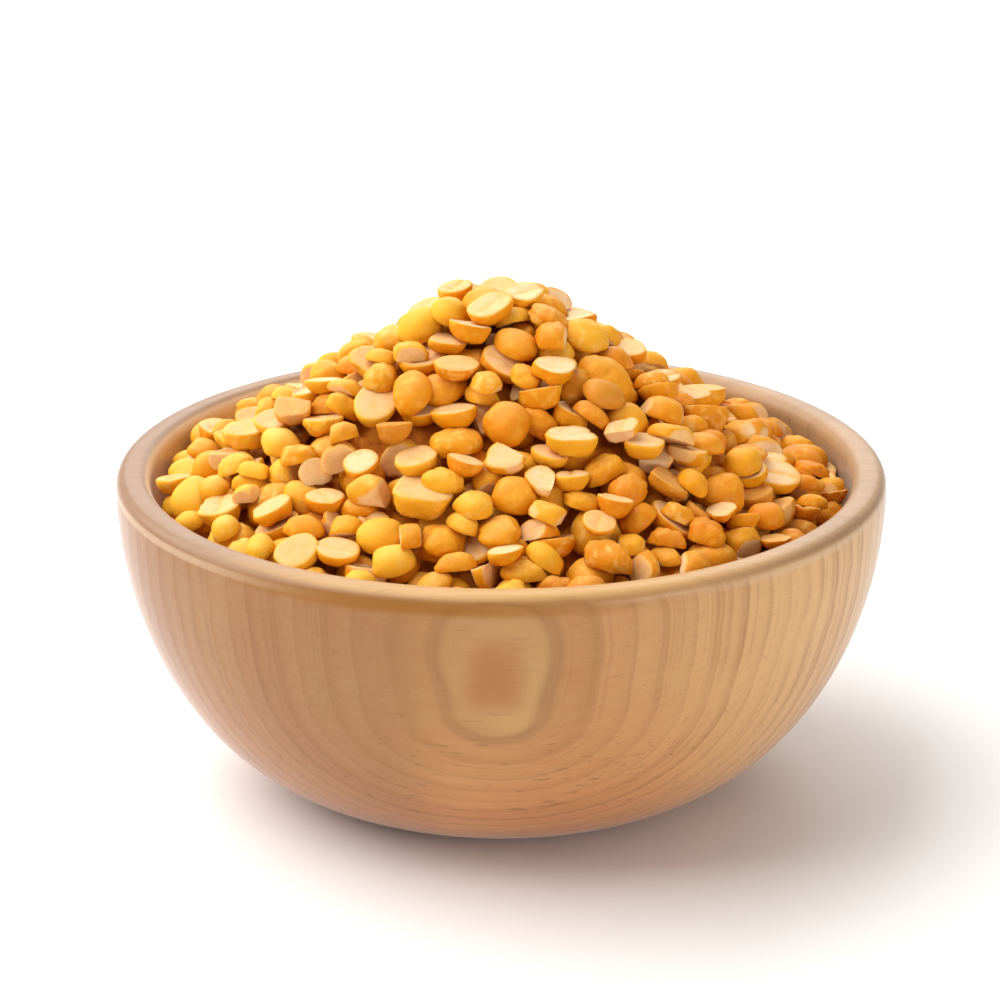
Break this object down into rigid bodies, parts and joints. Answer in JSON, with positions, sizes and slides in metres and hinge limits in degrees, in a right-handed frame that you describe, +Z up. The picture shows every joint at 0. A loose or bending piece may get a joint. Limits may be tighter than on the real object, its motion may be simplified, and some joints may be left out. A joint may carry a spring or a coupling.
{
  "type": "wooden bowl of dry split lentils",
  "caption": "Round turned wooden bowl with a rounded rim and flat foot, heaped with dry yellow split lentils above the rim.",
  "frame": {"origin": "centre of the bowl's flat foot, on the surface it stands on", "axes": "+Z up along the bowl's turning axis; -Y towards the viewer; +X to the viewer's right"},
  "size_m": [0.12, 0.12, 0.0812],
  "materials": {
    "wood": "satin, lightly oiled pale beech",
    "lentil": "dry, smooth, slightly waxy"
  },
  "bodies": {
    "root": {"bowl": "wood", "lentils": "lentil"}
  },
  "joints": []
}
